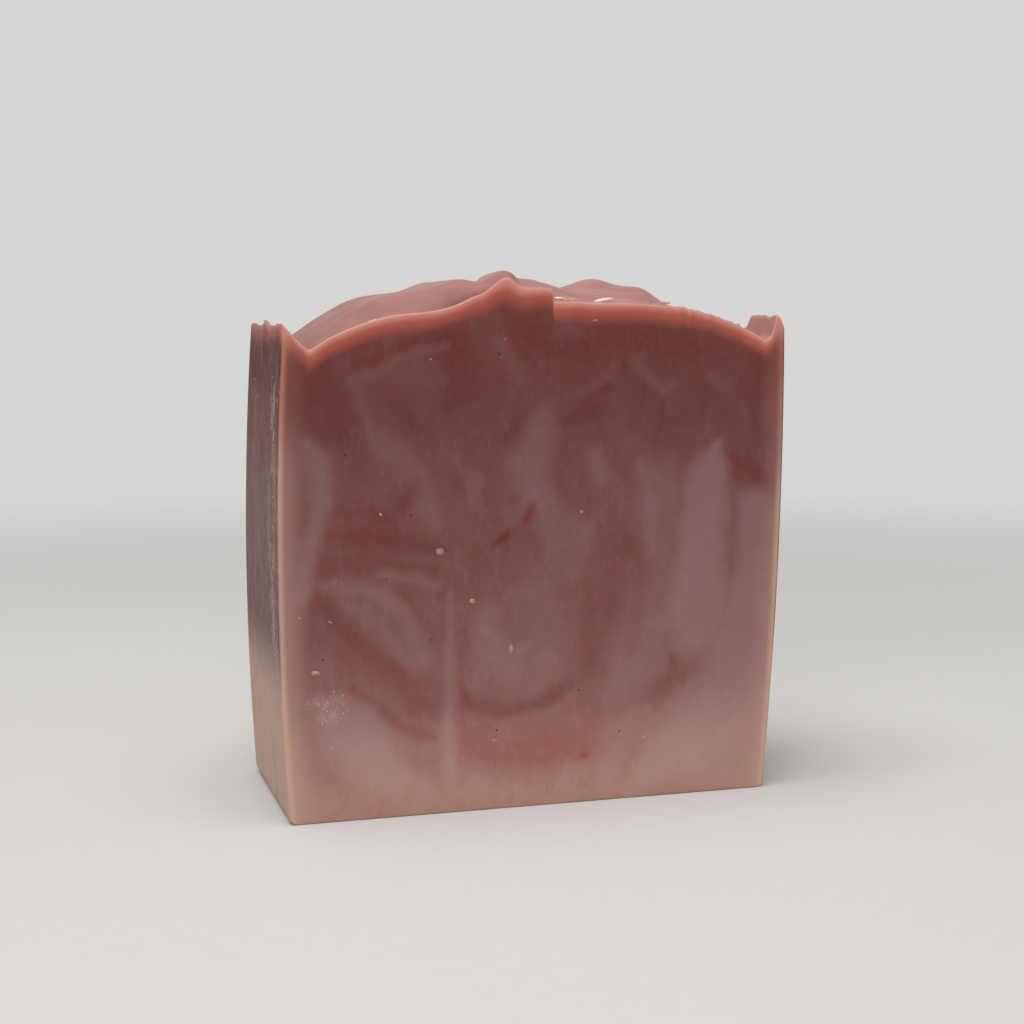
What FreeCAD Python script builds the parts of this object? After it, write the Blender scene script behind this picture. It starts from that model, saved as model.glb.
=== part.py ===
import FreeCAD, Part
import math
import os
import Sketcher

# Bar of soap, cut from a loaf that was poured in a deep mould.
# Millimetres. +X runs across the mould, +Y from the front cut to the back cut, +Z up.
# The origin is the middle of the foot, which is the face that lay on the mould's floor.

Vector = FreeCAD.Vector

SIZES = [
    # Mould section at the foot and up the walls
    ("bar_width", 76.0, "across the foot"),
    ("bar_thickness", 33.84, "between the two cuts, at the foot"),
    ("wall_height", 76.0, "straight chord of each mould wall"),
    ("left_draft", 0.1, "left wall stands out at its top"),
    ("right_draft", 2.52, "right wall stands out at its top"),
    ("left_bulge", 1.5, "left wall bows out at half height"),
    ("right_bulge", 1.05, "right wall bows out at half height"),
    ("corner_radius", 1.3, "mould floor to mould wall"),
    ("cut_edge_bevel", 0.4, "rubbed edges of the two cuts"),
    ("back_lean", 3.64, "back cut leans forward at the wall height"),
    ("pour_room", 14.0, "stock above the walls, skimmed off by the pour"),
    # Rim that clung to the mould walls
    ("left_gutter_inset", 4.0, "left rim to the bottom of its gutter"),
    ("left_gutter_height", 69.9, "foot to the left gutter"),
    ("left_rim_height", 73.55, "foot to the left rim"),
    ("rim_wave", 0.38, "left rim's peaks above and below its height"),
    ("rim_pitch", 13.0, "one left peak to the next"),
    ("right_gutter_inset", 3.2, "right rim to the bottom of its gutter"),
    ("right_gutter_height", 71.1, "foot to the right gutter"),
    ("right_lip_foot_height", 71.8, "foot to where the right lip starts to stand up"),
    ("right_lip_height", 75.1, "foot to the right lip, near the front"),
    ("right_lip_inset", 1.25, "right wall to the top of the lip"),
    ("right_lip_slope", 0.9, "width of the lip's steep inner side"),
    ("right_lip_length", 9.5, "right lip stays high this far back"),
    ("right_lip_drop", 2.1, "right lip falls by this behind that"),
    ("right_lip_round", 1.9, "right lip rolls down to the wall"),
    # Crown and the swirl worked into it
    ("crown_rise", 6.3, "gutters to the top of the crown"),
    ("swell_rise", 3.6, "left swell above the crown"),
    ("swell_start", 2.0, "front cut to the foot of the swell"),
    ("swell_run", 8.0, "foot of the swell to its full height"),
    ("swell_left", 37.0, "left end of the swell, left of the middle"),
    ("swell_right", 24.0, "right end of the swell, right of the middle"),
    ("crest_place", 4.5, "crest at the front cut, left of the middle"),
    ("crest_drift", 0.2, "crest moves right per unit of depth"),
    ("crest_front_rise", 1.2, "crest above the block, at the front cut"),
    ("crest_rise", 1.3, "crest at its highest"),
    ("crest_left_reach", 4.6, "long left flank of the crest"),
    ("crest_right_reach", 1.6, "short right flank of the crest"),
    ("shoulder_rise", 2.3, "shoulder on the right of the crest"),
    ("shoulder_run", 8.0, "shoulder fades out over this"),
    ("hollow_depth", 0.9, "spoon hollow in front of the swell"),
    ("hollow_place", 12.0, "hollow, left of the middle"),
    ("near_mound_rise", 2.9, "mound next to the right rim"),
    ("near_mound_place", 22.3, "its place, right of the middle"),
    ("far_mound_rise", 3.1, "mound between it and the crest"),
    ("far_mound_place", 15.5, "its place, right of the middle"),
    # Flake broken off the front edge, right of the crest
    ("break_place", 2.45, "broken step, right of the middle"),
    ("break_height", 77.0, "foot to the broken ledge at the front cut"),
    ("break_width", 17.5, "length of the broken ledge"),
    ("break_angle", 18.0, "ledge climbs to the back, degrees"),
]

# Knots of the poured surface: coarse over the crown, closer together at the crest.
CROWN_KNOT_STEP = 2.4
CREST_KNOT_STEP = 1.2
DEPTH_KNOT_STEP = 2.2
SURFACE_DEGREE = 3
SURFACE_MARGIN = 6.0
CROWN_POWERS = {"left": 3.2, "right": 3.6}

doc = FreeCAD.newDocument("bar_of_soap")


def make_sheet():
    """One row for each size: its name, its value and what it measures."""
    table = doc.addObject("Spreadsheet::Sheet", "Sizes")
    for row, (alias, value, meaning) in enumerate(SIZES, start=1):
        table.set("A%d" % row, alias)
        table.set("B%d" % row, str(value))
        table.set("C%d" % row, meaning)
        table.setAlias("B%d" % row, alias)
    doc.recompute()
    return table


sheet = make_sheet()


def size(alias):
    return float(sheet.get(alias))


def origin_plane(body, role):
    """The plane of that name among the body's own origin features."""
    for feature in body.Origin.OriginFeatures:
        if feature.Role == role:
            return feature
    raise ValueError(role)


def place_point(sketch, point, across, up, name):
    """Ties a sketch point to the sheet: signed expressions across and up from the origin."""
    for kind, expression in (("DistanceX", across), ("DistanceY", up)):
        if expression is None:
            continue
        leftward = expression.startswith("-")
        ends = point + (-1, 1) if leftward else (-1, 1) + point
        start_value = float(sketch.evalExpression(expression.lstrip("-")))
        index = sketch.addConstraint(Sketcher.Constraint(kind, *ends, start_value))
        label = "%s_%s" % (name, "across" if kind == "DistanceX" else "up")
        sketch.renameConstraint(index, label)
        sketch.setExpression("Constraints." + label, expression.lstrip("-"))


def wall_offset(side, height):
    """How far a wall stands from the middle plane at a height, as the sketch's arc does."""
    share = height / size("wall_height")
    bow = 4.0 * share * (1.0 - share)
    return size("bar_width") / 2 + size(side + "_draft") * share + size(side + "_bulge") * bow


def draw_mould_section(body):
    """The loaf's section: flat floor, two bowed walls, and room above them for the pour."""
    sketch = body.newObject("Sketcher::SketchObject", "mould_section")
    sketch.AttachmentSupport = [(origin_plane(body, "XZ_Plane"), "")]
    sketch.MapMode = "FlatFace"
    half = size("bar_width") / 2
    wall = size("wall_height")
    top = wall + size("pour_room")

    def section_point(side, height):
        sign = -1 if side == "left" else 1
        return Vector(sign * wall_offset(side, height), height, 0)

    foot_left, foot_right = Vector(-half, 0, 0), Vector(half, 0, 0)
    wall_left, wall_right = section_point("left", wall), section_point("right", wall)
    bow_left, bow_right = section_point("left", wall / 2), section_point("right", wall / 2)
    top_left, top_right = Vector(wall_left.x, top, 0), Vector(wall_right.x, top, 0)
    floor, right, right_up, roof, left_up, left = sketch.addGeometry([
        Part.LineSegment(foot_left, foot_right),
        Part.Arc(foot_right, bow_right, wall_right),
        Part.LineSegment(wall_right, top_right),
        Part.LineSegment(top_right, top_left),
        Part.LineSegment(top_left, wall_left),
        Part.Arc(wall_left, bow_left, foot_left),
    ], False)
    bow_points = sketch.addGeometry([Part.Point(bow_right), Part.Point(bow_left)], True)
    for one, end, other, start in (
        (floor, 2, right, 1), (right, 2, right_up, 1), (right_up, 2, roof, 1),
        (roof, 2, left_up, 1), (left_up, 2, left, 1), (left, 2, floor, 1),
    ):
        sketch.addConstraint(Sketcher.Constraint("Coincident", one, end, other, start))
    for upright in (right_up, left_up):
        sketch.addConstraint(Sketcher.Constraint("Vertical", upright))
    sketch.addConstraint(Sketcher.Constraint("Horizontal", roof))
    for end in (1, 2):
        sketch.addConstraint(Sketcher.Constraint("PointOnObject", floor, end, -1))
    for bow, arc in zip(bow_points, (right, left)):
        sketch.addConstraint(Sketcher.Constraint("PointOnObject", bow, 1, arc))
    half_width = "Sizes.bar_width / 2"
    place_point(sketch, (floor, 1), "-" + half_width, None, "foot_left")
    place_point(sketch, (floor, 2), half_width, None, "foot_right")
    for side, wall_end, bow, sign in (
        ("right", (right, 2), (bow_points[0], 1), ""),
        ("left", (left, 1), (bow_points[1], 1), "-"),
    ):
        at_wall = "%s(Sizes.bar_width / 2 + Sizes.%s_draft)" % (sign, side)
        at_bow = "%s(Sizes.bar_width / 2 + Sizes.%s_draft / 2 + Sizes.%s_bulge)" % (
            sign, side, side)
        place_point(sketch, wall_end, at_wall, "Sizes.wall_height", "wall_" + side)
        place_point(sketch, bow, at_bow, "Sizes.wall_height / 2", "bow_" + side)
    place_point(sketch, (roof, 1), None, "Sizes.wall_height + Sizes.pour_room", "roof")
    return sketch


def draw_back_wedge(body):
    """The sliver between an upright back face and the leaning cut, seen from the side."""
    sketch = body.newObject("Sketcher::SketchObject", "back_wedge")
    sketch.AttachmentSupport = [(origin_plane(body, "YZ_Plane"), "")]
    sketch.MapMode = "FlatFace"
    top = size("wall_height") + size("pour_room")
    back = size("bar_thickness") / 2
    lean_at_top = size("back_lean") * top / size("wall_height")
    corners = [Vector(back, 0, 0), Vector(back, top, 0), Vector(back - lean_at_top, top, 0)]
    cut, roof, upright = sketch.addGeometry([
        Part.LineSegment(corners[2], corners[0]),
        Part.LineSegment(corners[1], corners[2]),
        Part.LineSegment(corners[0], corners[1]),
    ], False)
    for one, end, other, start in ((cut, 2, upright, 1), (upright, 2, roof, 1), (roof, 2, cut, 1)):
        sketch.addConstraint(Sketcher.Constraint("Coincident", one, end, other, start))
    sketch.addConstraint(Sketcher.Constraint("Vertical", upright))
    sketch.addConstraint(Sketcher.Constraint("Horizontal", roof))
    sketch.addConstraint(Sketcher.Constraint("PointOnObject", cut, 2, -1))
    full_height = "(Sizes.wall_height + Sizes.pour_room)"
    place_point(sketch, (cut, 2), "Sizes.bar_thickness / 2", None, "foot_back")
    place_point(sketch, (roof, 1), None, full_height, "roof")
    lean = "Sizes.bar_thickness / 2 - Sizes.back_lean * %s / Sizes.wall_height" % full_height
    place_point(sketch, (cut, 1), lean, None, "cut_top")
    return sketch


def edges_where(feature, test):
    """Names of the feature's edges that pass a test of their own."""
    names = []
    for number, edge in enumerate(feature.Shape.Edges, start=1):
        if test(edge):
            names.append("Edge%d" % number)
    return names


def make_stock():
    """The slice as it left the loaf: mould section, two wire cuts, rubbed edges."""
    body = doc.addObject("PartDesign::Body", "slice_stock")
    section = draw_mould_section(body)
    pad = body.newObject("PartDesign::Pad", "slice")
    pad.Profile = section
    pad.Midplane = True
    pad.setExpression("Length", "Sizes.bar_thickness")
    doc.recompute()
    square_volume = pad.Shape.Volume

    wedge = draw_back_wedge(body)
    lean = body.newObject("PartDesign::Pocket", "back_cut")
    lean.Profile = wedge
    lean.Midplane = True
    lean.setExpression("Length", "2 * Sizes.bar_width")
    doc.recompute()
    if lean.Shape.Volume >= square_volume:
        raise RuntimeError("the back cut took nothing off the slice")

    def mould_corner(edge):
        box = edge.BoundBox
        return box.ZMax < 0.01 and box.YLength > size("bar_thickness") / 2

    corners = body.newObject("PartDesign::Fillet", "mould_corners")
    corners.Base = (lean, edges_where(lean, mould_corner))
    corners.setExpression("Radius", "Sizes.corner_radius")
    doc.recompute()

    def rubbed(edge):
        box = edge.BoundBox
        flat_on_cut = box.YLength < size("back_lean") + 0.01
        across_foot = box.ZMax < 0.01 and box.XLength > size("bar_width") / 2
        up_wall = box.ZLength > size("wall_height") / 2
        at_corner = box.ZMax < size("corner_radius") * 2 and box.XLength > 0.01
        below_stock = box.ZMax < size("wall_height") + 0.01
        return flat_on_cut and below_stock and (across_foot or up_wall or at_corner)

    rubbed_edges = body.newObject("PartDesign::Chamfer", "rubbed_edges")
    rubbed_edges.Base = (corners, edges_where(corners, rubbed))
    rubbed_edges.setExpression("Size", "Sizes.cut_edge_bevel")
    doc.recompute()
    body.Tip = rubbed_edges
    return body


def ease(share):
    """0 before the run starts, 1 after it ends, and smooth between."""
    share = min(max(share, 0.0), 1.0)
    return share * share * (3.0 - 2.0 * share)


def bell(distance):
    return math.exp(-distance * distance)


class Pour:
    """The top as the soap set in the mould: a rim each side, a crown and its swirl."""

    # How far each swirl feature reaches, front to back and across.
    crest_build_up = 8.0
    shoulder_fade = 0.35
    hollow_reach = (4.0, 3.2)
    hollow_depth_place = 5.5
    far_mound_reach = (5.0, 7.0)
    far_mound_depth_place = 18.0
    near_mound_reach = (3.4, 6.0)
    near_mound_depth_place = 14.0
    lip_fall_run = 2.5

    def __init__(self):
        self.front = -size("bar_thickness") / 2
        self.left_rim = -wall_offset("left", size("left_rim_height"))
        self.right_rim = wall_offset("right", size("right_lip_height"))
        self.left_gutter = self.left_rim + size("left_gutter_inset")
        self.right_gutter = self.right_rim - size("right_gutter_inset")

    def crown(self, x):
        middle = (self.left_gutter + self.right_gutter) / 2
        half = (self.right_gutter - self.left_gutter) / 2
        share = min(max((x - middle) / half, -1.0), 1.0)
        left, right = size("left_gutter_height"), size("right_gutter_height")
        gutter_line = left + (right - left) * (share + 1) / 2
        power = CROWN_POWERS["left" if share < 0 else "right"]
        return gutter_line + size("crown_rise") * (1 - abs(share) ** power)

    def crest_line(self, depth):
        return -size("crest_place") + size("crest_drift") * depth

    def swell(self, x, depth):
        across = ease((x + size("swell_left")) / (size("swell_left") / 2))
        past_crest = 1 - 0.3 * ease((x + size("hollow_place")) / 8)
        fade = 1 - ease((x - 2.0) / (size("swell_right") - 2.0))
        climb = ease((depth - size("swell_start")) / size("swell_run"))
        return size("swell_rise") * climb * across * past_crest * fade

    def crest(self, x, depth):
        front, full = size("crest_front_rise"), size("crest_rise")
        rise = front + (full - front) * ease(depth / self.crest_build_up)
        off = x - self.crest_line(depth)
        reach = size("crest_left_reach") if off < 0 else size("crest_right_reach")
        return rise * bell(off / reach)

    def shoulder(self, x, depth):
        start = ease((x - self.crest_line(depth)) / size("crest_left_reach") + 1.0)
        end = 1 - ease((x - size("break_place") - 1.0) / size("shoulder_run"))
        fade = 1 - self.shoulder_fade * ease((depth - 2.0) / 8)
        return size("shoulder_rise") * start * end * fade

    def dent(self, x, depth, place, depth_place, reach):
        return bell(math.hypot((x - place) / reach[0], (depth - depth_place) / reach[1]))

    def swirl(self, x, depth):
        hollow = size("hollow_depth") * self.dent(
            x, depth, -size("hollow_place"), self.hollow_depth_place, self.hollow_reach)
        far = size("far_mound_rise") * self.dent(
            x, depth, size("far_mound_place"), self.far_mound_depth_place, self.far_mound_reach)
        near = size("near_mound_rise") * self.dent(
            x, depth, size("near_mound_place"), self.near_mound_depth_place, self.near_mound_reach)
        raised = self.swell(x, depth) + self.crest(x, depth) + self.shoulder(x, depth)
        return raised + far + near - hollow

    def height(self, x, y):
        return self.crown(x) + self.swirl(x, y - self.front)

    def left_rim_top(self, y):
        turn = 2 * math.pi * (y - self.front) / size("rim_pitch")
        return size("left_rim_height") + size("rim_wave") * math.cos(turn)

    def right_lip_top(self, y):
        past_lip = y - self.front - size("right_lip_length")
        return size("right_lip_height") - size("right_lip_drop") * ease(past_lip / self.lip_fall_run)

    def rim_lines(self):
        """Lines that run front to back along each rim: where they stand, and how high.

        The outermost strips carry on past the walls at the slope they have inside them.
        """
        inset = size("left_gutter_inset")
        lip_top = self.right_rim - size("right_lip_inset")
        lip_foot = lip_top - size("right_lip_slope")
        lip_overrun = 1 + SURFACE_MARGIN / size("right_lip_inset")

        def left_gutter_level(y):
            return self.height(self.left_gutter, y)

        def outside_left_level(y):
            rise = self.left_rim_top(y) - left_gutter_level(y)
            return left_gutter_level(y) + rise * (1 + SURFACE_MARGIN / inset)

        left = [
            (self.left_rim - SURFACE_MARGIN, outside_left_level),
            (self.left_gutter, left_gutter_level),
        ]
        right = [
            (self.right_gutter, lambda y: self.height(self.right_gutter, y)),
            (lip_foot, lambda y: size("right_lip_foot_height")),
            (lip_top, self.right_lip_top),
            (self.right_rim + SURFACE_MARGIN,
             lambda y: self.right_lip_top(y) - size("right_lip_round") * lip_overrun),
        ]
        return left, right

    def knots_across(self):
        """Knots over the crown, gutter to gutter, closer together at the crest."""
        span = self.right_gutter - self.left_gutter
        knots = [self.left_gutter]
        while knots[-1] < self.right_gutter:
            from_crest = knots[-1] + size("crest_place")
            low, high = -size("crest_left_reach") * 1.5, size("crest_right_reach") * 5
            near_crest = low < from_crest < high
            knots.append(knots[-1] + (CREST_KNOT_STEP if near_crest else CROWN_KNOT_STEP))
        stretch = span / (knots[-1] - knots[0])
        return [self.left_gutter + (x - self.left_gutter) * stretch for x in knots]

    def knots_deep(self):
        """Evenly spaced knots from in front of the front cut to behind the back one."""
        length = size("bar_thickness") + 2 * SURFACE_MARGIN
        count = math.ceil(length / DEPTH_KNOT_STEP)
        return [self.front - SURFACE_MARGIN + length * i / count for i in range(count + 1)]

    def faces(self):
        """The crown and the flat strips of both rims, which share their border lines."""
        deep = self.knots_deep()
        rows = pole_places(deep, SURFACE_DEGREE)
        sheets = []
        for lines in self.rim_lines():
            for (x, level), (next_x, next_level) in zip(lines, lines[1:]):
                poles = [
                    [Vector(x, y, level(y)) for y in rows],
                    [Vector(next_x, y, next_level(y)) for y in rows],
                ]
                sheets.append(soap_sheet(poles, [x, next_x], 1, deep))
        across = self.knots_across()
        columns = pole_places(across, SURFACE_DEGREE)
        poles = [[Vector(x, y, self.height(x, y)) for y in rows] for x in columns]
        sheets.append(soap_sheet(poles, across, SURFACE_DEGREE, deep))
        return sheets


def pole_places(knots, degree):
    """Where the poles stand so that the sheet's own coordinates are x and y."""
    clamped = [knots[0]] * degree + knots + [knots[-1]] * degree
    count = len(knots) + degree - 1
    return [sum(clamped[i + 1:i + 1 + degree]) / degree for i in range(count)]


def end_multiplicities(knots, degree):
    return [degree + 1] + [1] * (len(knots) - 2) + [degree + 1]


def soap_sheet(poles, across, degree_across, deep):
    """A face through the poles, curved front to back, and curved or straight across."""
    surface = Part.BSplineSurface()
    surface.buildFromPolesMultsKnots(
        poles, end_multiplicities(across, degree_across), end_multiplicities(deep, SURFACE_DEGREE),
        across, deep, False, False, degree_across, SURFACE_DEGREE)
    return surface.toShape()


def make_air_above_pour():
    """Everything over the poured top, as one solid to take off the stock."""
    air = doc.addObject("Part::Feature", "air_above_pour")
    height = size("wall_height") + size("pour_room")
    columns = [face.extrude(Vector(0, 0, height)) for face in Pour().faces()]
    air.Shape = columns[0].fuse(columns[1:])
    air.Placement = FreeCAD.Placement()
    return air


def make_flake_space():
    """The wedge of soap that broke off the front edge: an upright step and a rising ledge."""
    flake = doc.addObject("Part::Box", "flake_space")
    flake.setExpression("Length", "Sizes.break_width")
    flake.setExpression("Width", "Sizes.bar_thickness")
    flake.setExpression("Height", "Sizes.pour_room * 2")
    flake.setExpression("Placement.Base.x", "Sizes.break_place")
    flake.setExpression("Placement.Base.y", "-Sizes.bar_thickness / 2")
    flake.setExpression("Placement.Base.z", "Sizes.break_height")
    flake.Placement.Rotation = FreeCAD.Rotation(Vector(1, 0, 0), size("break_angle"))
    return flake


def make_bar():
    stock = make_stock()
    poured = doc.addObject("Part::Cut", "poured_slice")
    poured.Base = stock
    poured.Tool = make_air_above_pour()
    bar = doc.addObject("Part::Cut", "soap_bar")
    bar.Label = "soap_bar"
    bar.Base = poured
    bar.Tool = make_flake_space()
    doc.recompute()
    return bar


def check_document(sub_parts):
    for thing in doc.Objects:
        if "Invalid" in thing.State or "Error" in thing.State:
            raise RuntimeError("%s failed: %s" % (thing.Name, thing.State))
    for part in sub_parts:
        shape = part.Shape
        if shape.isNull() or not shape.isValid() or len(shape.Solids) != 1:
            raise RuntimeError("%s is not one valid solid" % part.Label)


def export(sub_parts):
    os.makedirs("parts", exist_ok=True)
    for part in sub_parts:
        part.Shape.exportStep(os.path.join("parts", part.Label + ".step"))
        box = part.Shape.BoundBox
        print(part.Label, "volume %.1f mm3" % part.Shape.Volume,
              "x %.2f..%.2f" % (box.XMin, box.XMax), "y %.2f..%.2f" % (box.YMin, box.YMax),
              "z %.2f..%.2f" % (box.ZMin, box.ZMax))


sub_parts = [make_bar()]
check_document(sub_parts)
export(sub_parts)
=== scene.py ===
import itertools
import math

import bpy
import numpy as np
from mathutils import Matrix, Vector


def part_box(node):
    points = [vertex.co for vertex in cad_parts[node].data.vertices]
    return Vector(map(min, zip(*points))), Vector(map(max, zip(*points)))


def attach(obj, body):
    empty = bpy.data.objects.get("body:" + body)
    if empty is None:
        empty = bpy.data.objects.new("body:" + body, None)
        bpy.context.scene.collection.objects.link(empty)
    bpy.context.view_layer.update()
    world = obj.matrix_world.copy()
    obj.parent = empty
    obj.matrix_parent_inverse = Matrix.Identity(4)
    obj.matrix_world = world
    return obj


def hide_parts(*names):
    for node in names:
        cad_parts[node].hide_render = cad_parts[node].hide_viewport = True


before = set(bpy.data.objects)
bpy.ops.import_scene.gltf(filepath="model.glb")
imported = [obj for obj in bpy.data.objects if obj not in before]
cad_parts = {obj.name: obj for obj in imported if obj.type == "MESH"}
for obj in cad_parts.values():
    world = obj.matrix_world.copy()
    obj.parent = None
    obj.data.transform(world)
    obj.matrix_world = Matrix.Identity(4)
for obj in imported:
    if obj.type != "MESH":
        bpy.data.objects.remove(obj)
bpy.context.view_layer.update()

# Bar of soap cut from a loaf: marbled cut faces, moulded walls and a poured, swirled top.
# Lengths are millimetres along the frame's axes until a mesh is made. MM turns them into metres.
MM = 0.001
bar_low, bar_high = (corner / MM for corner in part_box("soap_bar"))

# The slice, with its two wire cuts. The cuts stand back to leave room for the crumbs on them.
CRUMB_ROOM = 0.2
FRONT = bar_low.y + CRUMB_ROOM
THICKNESS = bar_high.y - CRUMB_ROOM - FRONT
TOP_ROOM = 0.08
BACK_LEAN = 3.64
FOOT_WIDTH = 76.0
WALL_HEIGHT = 76.0
WALL_DRAFT = {"left": 0.1, "right": 2.52}
WALL_BULGE = {"left": 1.4, "right": 0.98}
FOOT_CORNER = 1.3
EDGE_ROUND = 0.35

# Rims that clung to the mould, and the gutters beside them
LEFT_RIM_HEIGHT = 73.6
LEFT_GUTTER_INSET = 4.0
LEFT_GUTTER_HEIGHT = 69.9
RIGHT_LIP_HEIGHT = 75.1
RIGHT_GUTTER_INSET = 3.2
RIGHT_GUTTER_HEIGHT = 71.1
RIGHT_LIP_FOOT = 71.8
RIGHT_LIP_INSET = 1.25
RIGHT_LIP_SLOPE = 0.9
RIGHT_LIP_LENGTH = 9.5
RIGHT_LIP_DROP = 2.1
RIGHT_LIP_ROUND = 1.9

# Crown, swell, crest and mounds of the poured top
CROWN_RISE = 6.3
CROWN_POWER = {"left": 3.2, "right": 3.6}
SWELL_RISE = 3.25
CREST_PLACE = 4.5
CREST_DRIFT = 0.2
SHOULDER_RISE = 2.3

# Flake broken off the front edge
BREAK_LEFT = 2.45
BREAK_RIGHT = 19.95
BREAK_HEIGHT = 77.0
BREAK_SLOPE = math.tan(math.radians(18.0))
STEP_WIDTH = 0.3
STEP_LINES = 6


def ease(share):
    """0 before the run starts, 1 after it ends, and smooth between."""
    share = np.clip(share, 0.0, 1.0)
    return share * share * (3.0 - 2.0 * share)


def bell(distance):
    return np.exp(-distance * distance)


def lower_of(first, second, blend):
    """The lower of two heights, rounded off where they meet."""
    share = np.clip(0.5 + (second - first) / (2 * blend), 0.0, 1.0)
    return second + (first - second) * share - blend * share * (1 - share)


def speckle(cells, seed):
    """One steady random number from -1 to 1 for each whole-number cell."""
    mixed = cells @ np.array([127.1, 311.7, 74.7]) + seed * 53.9
    return 2.0 * np.modf(np.abs(np.sin(mixed) * 43758.5453))[0] - 1.0


def lumps(points, pitch, seed):
    """Smooth noise from about -1 to 1, with one lump for each pitch. Pitch may differ by axis."""
    cells = points / np.asarray(pitch, float) + 101.3
    base = np.floor(cells)
    share = ease(cells - base)
    total = np.zeros(len(points))
    for corner in itertools.product((0, 1), repeat=3):
        weight = np.prod(np.where(corner, share, 1.0 - share), axis=1)
        total += weight * speckle(base + corner, seed)
    return total


def rough(points, pitch, seed, octaves=3):
    """Lumps with finer and weaker lumps on them."""
    pitch = np.asarray(pitch, float)
    return sum(lumps(points, pitch / 2 ** i, seed + i) / 2 ** i for i in range(octaves)) / 1.5


def wall_offset(side, height):
    """How far a mould wall stands from the middle plane at a height."""
    share = np.clip(height / WALL_HEIGHT, 0.0, 1.0)
    bow = 4.0 * share * (1.0 - share)
    return FOOT_WIDTH / 2 + WALL_DRAFT[side] * share + WALL_BULGE[side] * bow


LEFT_RIM = -float(wall_offset("left", LEFT_RIM_HEIGHT))
RIGHT_RIM = float(wall_offset("right", RIGHT_LIP_HEIGHT))
LEFT_GUTTER = LEFT_RIM + LEFT_GUTTER_INSET
RIGHT_GUTTER = RIGHT_RIM - RIGHT_GUTTER_INSET


def crown(x):
    """Low dome from gutter to gutter, steeper at its ends."""
    middle = (LEFT_GUTTER + RIGHT_GUTTER) / 2
    half = (RIGHT_GUTTER - LEFT_GUTTER) / 2
    share = np.clip((x - middle) / half, -1.0, 1.0)
    gutter_line = LEFT_GUTTER_HEIGHT + (RIGHT_GUTTER_HEIGHT - LEFT_GUTTER_HEIGHT) * (share + 1) / 2
    power = np.where(share < 0, CROWN_POWER["left"], CROWN_POWER["right"])
    return gutter_line + CROWN_RISE * (1 - np.abs(share) ** power)


def crest_line(depth):
    return -CREST_PLACE + CREST_DRIFT * depth


def swell(x, depth):
    """Broad wave of soap behind the front cut, left of the crest."""
    across = ease((x + 37.0) / 18.5)
    past_crest = 1 - 0.3 * ease((x + 12.0) / 8.0)
    fade = 1 - ease((x - 2.0) / 22.0)
    rise = SWELL_RISE * across * past_crest * fade
    return ease((depth - 2.0) / 8.0) * rise


def ripple(x):
    """A low roll left of the crest and the dip beside it."""
    return 0.85 * bell((x + 9.3) / 3.0) - 0.55 * bell((x + 16.5) / 4.2)


def crest(x, depth):
    """Ridge that the stick drew up: long left flank, short steep right flank."""
    rise = 1.5 - 0.2 * ease(depth / 5.0)
    off = x - crest_line(depth)
    return rise * bell(off / np.where(off < 0, 4.6, 1.6))


def shoulder(x, depth):
    """Block that stands between the crest and the broken step."""
    start = ease((x - crest_line(depth)) / 4.6 + 1.0)
    end = 1 - ease((x - BREAK_LEFT + 1.5) / 8.0)
    fade = 1 - 0.35 * ease((depth - 2.0) / 8.0)
    return SHOULDER_RISE * start * end * fade


def mound(x, depth, place, reach, rise):
    return rise * bell(np.hypot((x - place[0]) / reach[0], (depth - place[1]) / reach[1]))


def curl_line(x):
    """How far behind the front cut the crease of the curled lobe runs."""
    return 1.2 + 0.5 * ease((x + 7.0) / 4.0)


def folds(x, depth):
    """Spoon hollow, crease behind the front lobe, and the two mounds by the right rim."""
    hollow = mound(x, depth, (-10.7, 3.0), (2.8, 2.0), -1.9)
    crease = -1.1 * bell((depth - curl_line(x)) / 0.32) * bell((x + 4.9) / 1.5)
    notch = -0.35 * bell((x + 1.7 - 0.1 * depth) / 0.5) * ease((depth - 0.8) / 1.2)
    notch = notch * (1 - ease((depth - 4.0) / 5.0))
    far = mound(x, depth, (15.5, 18.0), (5.0, 7.0), 3.1)
    near = mound(x, depth, (21.8, 14.0), (3.3, 6.0), 2.5)
    return hollow + crease + notch + far + near


def left_rim_top(y):
    """Ragged left rim: a rounded tooth in front, a sharp one in the middle, a long one behind."""
    front_tooth = 0.45 * bell((y + 14.5) / 2.6)
    sharp_tooth = 1.1 * np.exp(-np.abs(y + 1.9) / 2.0)
    long_tooth = 0.4 * bell((y - 10.0) / 3.2)
    return LEFT_RIM_HEIGHT + front_tooth + sharp_tooth + long_tooth


def right_lip_top(y):
    """The right lip stands high near the front, has a nick, and drops away behind."""
    past_lip = y - FRONT - RIGHT_LIP_LENGTH
    nick = 0.4 * bell((y + 14.0) / 0.9)
    return RIGHT_LIP_HEIGHT - nick - RIGHT_LIP_DROP * ease(past_lip / 2.5)


def strip(x, start, start_level, end, end_level, power=1.0):
    """Level on a strip that climbs from one line to the next."""
    share = np.clip((x - start) / (end - start), 0.0, 1.0)
    return start_level + (end_level - start_level) * share ** power


def front_burr(x, depth, spots):
    """Thin ragged lip that the wire left along the front edge of the cut."""
    near_edge = 1 - ease((depth - 0.1) / 0.55)
    left = ease((x + 34.0) / 3.0) * (1 - ease((x + 10.0) / 4.0))
    right = ease((x - 19.5) / 3.0) * (1 - ease((x - 35.5) / 1.0))
    ragged = rough(spots, (1.3, 4.0, 50.0), 41)
    torn = np.maximum(rough(spots, (1.2, 4.0, 50.0), 47) - 0.1, 0.0)
    lip = near_edge * (left * (0.28 + 0.06 * ragged) + right * (0.08 * ragged + 0.6 * torn))
    return lip - 0.22 * left * bell((depth - 0.95) / 0.35)


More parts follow.
